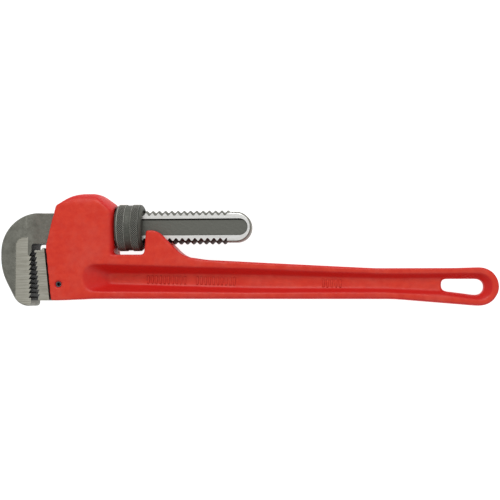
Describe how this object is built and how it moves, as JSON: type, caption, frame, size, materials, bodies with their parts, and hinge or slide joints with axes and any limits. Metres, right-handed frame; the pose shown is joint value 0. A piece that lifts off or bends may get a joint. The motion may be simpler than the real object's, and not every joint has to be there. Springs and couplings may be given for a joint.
{
  "type": "pipe wrench",
  "caption": "Straight pipe wrench with a sliding hook jaw, knurled adjusting nut, toothed heel jaw and cast I-beam handle with a hang hole.",
  "frame": {"origin": "middle of the lowest level of the wrench, lying on its side with the jaws nearly closed", "axes": "+X along the handle from the jaws to the grip end, +Y from the handle up to the threaded shank, +Z through the thickness"},
  "size_m": [0.3946, 0.09, 0.0379],
  "materials": {
    "painted_casting": "semi-gloss red enamel over cast iron",
    "forged_steel": "dark phosphated forging, bright milled flats",
    "ground_steel": "ground hardened steel",
    "nut_steel": "dark knurled steel",
    "spring_steel": "blued spring steel"
  },
  "bodies": {
    "handle": {"handle": "painted_casting", "heel_jaw": "ground_steel", "heel_jaw_pin": "spring_steel", "coil_spring": "spring_steel", "flat_spring": "spring_steel", "flat_spring_rivet": "spring_steel"},
    "hook_jaw": {"hook_jaw": "forged_steel"},
    "adjusting_nut": {"adjusting_nut": "nut_steel"}
  },
  "joints": [
    {"name": "hook_slide", "type": "slide", "parent": "handle", "child": "hook_jaw", "axis": [-1, 0, 0], "range_m": [-0.0025, 0.066]},
    {"name": "nut_spin", "type": "hinge", "parent": "handle", "child": "adjusting_nut", "pos_m": [-0.0934, 0.01794, 0.01895], "axis": [1, 0, 0], "range_deg": [-180, 4690]}
  ],
  "couplings": [
    {"joint": "nut_spin", "follows": "hook_slide", "rad_per_m": 1236.8}
  ]
}
